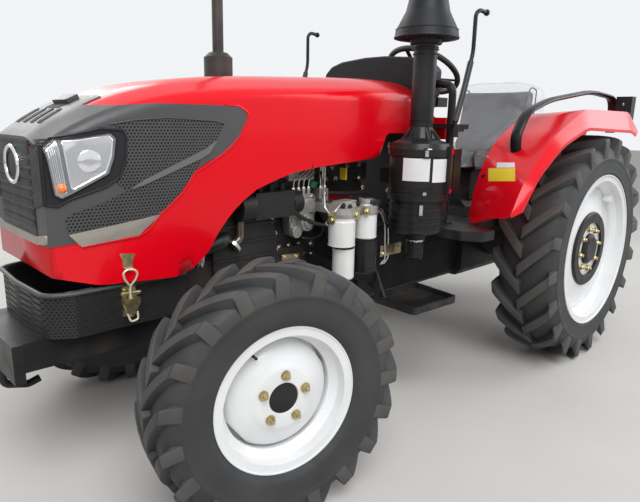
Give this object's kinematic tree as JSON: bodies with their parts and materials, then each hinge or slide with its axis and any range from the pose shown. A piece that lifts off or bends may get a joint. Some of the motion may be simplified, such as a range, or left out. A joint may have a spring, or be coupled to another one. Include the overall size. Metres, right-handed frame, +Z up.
{
  "type": "farm tractor",
  "caption": "Open-station four-wheel-drive farm tractor with a red hood and fenders, lugged tyres and a rear three-point linkage.",
  "frame": {"origin": "on the ground in the middle of the tractor's length and width, which lies ahead of the rear axle", "axes": "+X forward, +Y to the tractor's left, +Z up"},
  "size_m": [3.6, 1.612, 2.1527],
  "materials": {
    "black_paint": "satin",
    "red_paint": "gloss",
    "white_paint": "gloss",
    "grey_plastic": "matte",
    "lens": "clear gloss",
    "tyre": "matte",
    "hose_rubber": "matte",
    "cast_aluminium": "cast",
    "bright_steel": "bright",
    "wheel_rubber": "matte",
    "seat_cloth": "soft"
  },
  "bodies": {
    "chassis": {"front_axle": "black_paint", "steering_cylinder": "black_paint", "front_frame": "black_paint", "engine": "black_paint", "transmission": "black_paint", "radiator": "black_paint", "fan": "black_paint", "radiator_hose": "hose_rubber", "filter_head": "cast_aluminium", "filters": "white_paint", "injection_pump": "cast_aluminium", "air_cleaner": "black_paint", "pre_cleaner": "grey_plastic", "exhaust": "black_paint", "skirt": "black_paint", "console": "black_paint", "platform": "black_paint", "steps": "black_paint", "seat_stand": "black_paint", "seat_cushion": "seat_cloth", "seat_back": "seat_cloth", "fenders": "red_paint", "fender_rails": "black_paint", "rear_lamps": "grey_plastic", "mirror_arms": "black_paint", "rear_hitch": "black_paint"},
    "hood": {"hood_shell": "red_paint", "grilles": "grey_plastic", "headlamps": "lens"},
    "knuckle_left": {"knuckle_left": "black_paint"},
    "knuckle_right": {"knuckle_right": "black_paint"},
    "tie_rod": {"tie_rod": "black_paint"},
    "steering_rod": {"steering_rod": "bright_steel"},
    "steering_wheel": {"steering_wheel": "wheel_rubber"},
    "lift_arms": {"lift_arms": "black_paint"},
    "lift_rods": {"lift_rods": "bright_steel"},
    "lower_links": {"lower_links": "black_paint"},
    "front_wheel_left": {"front_rim_left": "white_paint", "front_tyre_left": "tyre", "front_hub_left": "black_paint"},
    "rear_wheel_left": {"rear_rim_left": "white_paint", "rear_tyre_left": "tyre", "rear_hub_left": "black_paint"},
    "front_wheel_right": {"front_rim_right": "white_paint", "front_tyre_right": "tyre", "front_hub_right": "black_paint"},
    "rear_wheel_right": {"rear_rim_right": "white_paint", "rear_tyre_right": "tyre", "rear_hub_right": "black_paint"}
  },
  "joints": [
    {"name": "steer_left", "type": "hinge", "parent": "chassis", "child": "knuckle_left", "pos_m": [1.182, 0.47, 0.44], "axis": [0, 0, 1], "range_deg": [-25.8, 50.2]},
    {"name": "steer_right", "type": "hinge", "parent": "chassis", "child": "knuckle_right", "pos_m": [1.182, -0.47, 0.44], "axis": [0, 0, 1], "range_deg": [-26.3, 50.7]},
    {"name": "tie_rod_swing", "type": "hinge", "parent": "knuckle_left", "child": "tie_rod", "pos_m": [1.0354, 0.5017, 0.493], "axis": [0, 0, 1], "range_deg": [-50.7, 26.3]},
    {"name": "steering_rod_slide", "type": "slide", "parent": "chassis", "child": "steering_rod", "axis": [0, 1, 0], "range_m": [-0.0483, 0.093]},
    {"name": "steering_wheel_turn", "type": "hinge", "parent": "chassis", "child": "steering_wheel", "pos_m": [-0.27, 0, 1.44], "axis": [-0.5299, 0, 0.848], "continuous": true},
    {"name": "hood_hinge", "type": "hinge", "parent": "chassis", "child": "hood", "pos_m": [0.2, 0, 1.318], "axis": [0, -1, 0], "range_deg": [0, 50]},
    {"name": "lift_arms_raise", "type": "hinge", "parent": "chassis", "child": "lift_arms", "pos_m": [-0.93, 0, 0.735], "axis": [0, 1, 0], "range_deg": [-27, 40]},
    {"name": "lift_rods_swing", "type": "hinge", "parent": "lift_arms", "child": "lift_rods", "pos_m": [-1.235, 0, 0.79], "axis": [0, 1, 0], "range_deg": [-35.3, 24]},
    {"name": "lower_links_raise", "type": "hinge", "parent": "chassis", "child": "lower_links", "pos_m": [-0.89, 0, 0.437], "axis": [0, 1, 0], "range_deg": [-17.5, 25.7]},
    {"name": "front_wheel_left_spin", "type": "hinge", "parent": "knuckle_left", "child": "front_wheel_left", "pos_m": [1.2137, 0.6166, 0.395], "axis": [0.2113, 0.9774, 0], "continuous": true},
    {"name": "rear_wheel_left_spin", "type": "hinge", "parent": "chassis", "child": "rear_wheel_left", "pos_m": [-0.76, 0.65, 0.57], "axis": [0, 1, 0], "continuous": true},
    {"name": "front_wheel_right_spin", "type": "hinge", "parent": "knuckle_right", "child": "front_wheel_right", "pos_m": [1.1503, -0.6166, 0.395], "axis": [0.2113, 0.9774, 0], "continuous": true},
    {"name": "rear_wheel_right_spin", "type": "hinge", "parent": "chassis", "child": "rear_wheel_right", "pos_m": [-0.76, -0.65, 0.57], "axis": [0, 1, 0], "continuous": true}
  ],
  "couplings": [
    {"joint": "steer_right", "follows": "steer_left", "ratio": 1},
    {"joint": "tie_rod_swing", "follows": "steer_left", "ratio": -1},
    {"joint": "steering_rod_slide", "follows": "steer_left", "m_per_rad": 0.105},
    {"joint": "lift_rods_swing", "follows": "lift_arms_raise", "ratio": -0.87},
    {"joint": "lower_links_raise", "follows": "lift_arms_raise", "ratio": 0.63}
  ]
}
